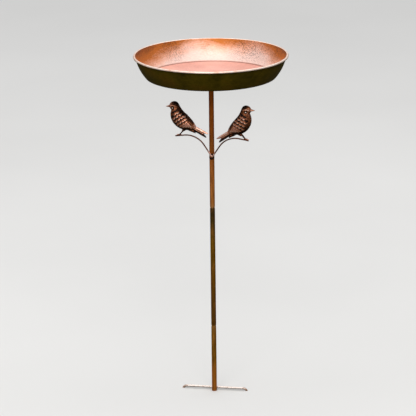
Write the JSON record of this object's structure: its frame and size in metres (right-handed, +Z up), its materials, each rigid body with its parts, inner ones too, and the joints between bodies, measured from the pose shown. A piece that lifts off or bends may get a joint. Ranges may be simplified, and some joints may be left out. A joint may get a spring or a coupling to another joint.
{
  "type": "pole-mounted bird dish",
  "caption": "Shallow round dish screwed onto a push-fit sectional pole, with perched birds on a forked wire branch and a ground fork with a step bar.",
  "frame": {"origin": "where the pole's axis meets the ground line, level with the middle of the fork's step bar", "axes": "+Z up along the pole, X along the fork's step bar, and -Y the side that the branch is welded to"},
  "size_m": [0.335, 0.335, 0.89],
  "materials": {
    "pole_tube": "antique copper, semi-gloss",
    "ground_fork": "antique copper, worn bright on top",
    "branch_wire": "antique copper, semi-gloss",
    "bird_casting": "antique copper, dark in the hollows",
    "dish_sheet": "brushed copper inside, dark bronze outside",
    "stud_steel": "zinc plated",
    "washer_rubber": "matt"
  },
  "bodies": {
    "lower": {"lower_tube": "pole_tube", "ground_spike": "ground_fork", "fork_bar": "ground_fork"},
    "middle": {"middle_tube": "pole_tube"},
    "upper": {"upper_tube": "pole_tube", "top_plug": "stud_steel", "dish_stud": "stud_steel", "branch_wire": "branch_wire", "left_bird": "bird_casting", "right_bird": "bird_casting", "left_legs": "branch_wire", "right_legs": "branch_wire"},
    "washer": {"dish_washer": "washer_rubber"},
    "dish": {"dish_bowl": "dish_sheet", "dish_plate": "dish_sheet", "dish_socket": "dish_sheet"}
  },
  "joints": [
    {"name": "middle_pull", "type": "slide", "parent": "lower", "child": "middle", "axis": [0, 0, 1], "range_m": [0, 0.036]},
    {"name": "upper_pull", "type": "slide", "parent": "middle", "child": "upper", "axis": [0, 0, 1], "range_m": [0, 0.036]},
    {"name": "dish_lift", "type": "slide", "parent": "upper", "child": "washer", "axis": [0, 0, 1], "range_m": [0, 0.0081]},
    {"name": "dish_turn", "type": "hinge", "parent": "washer", "child": "dish", "pos_m": [0, 0, 0.7025], "axis": [0, 0, 1], "range_deg": [0, 2880]}
  ],
  "couplings": [
    {"joint": "dish_lift", "follows": "dish_turn", "m_per_rad": 0.00015915}
  ]
}
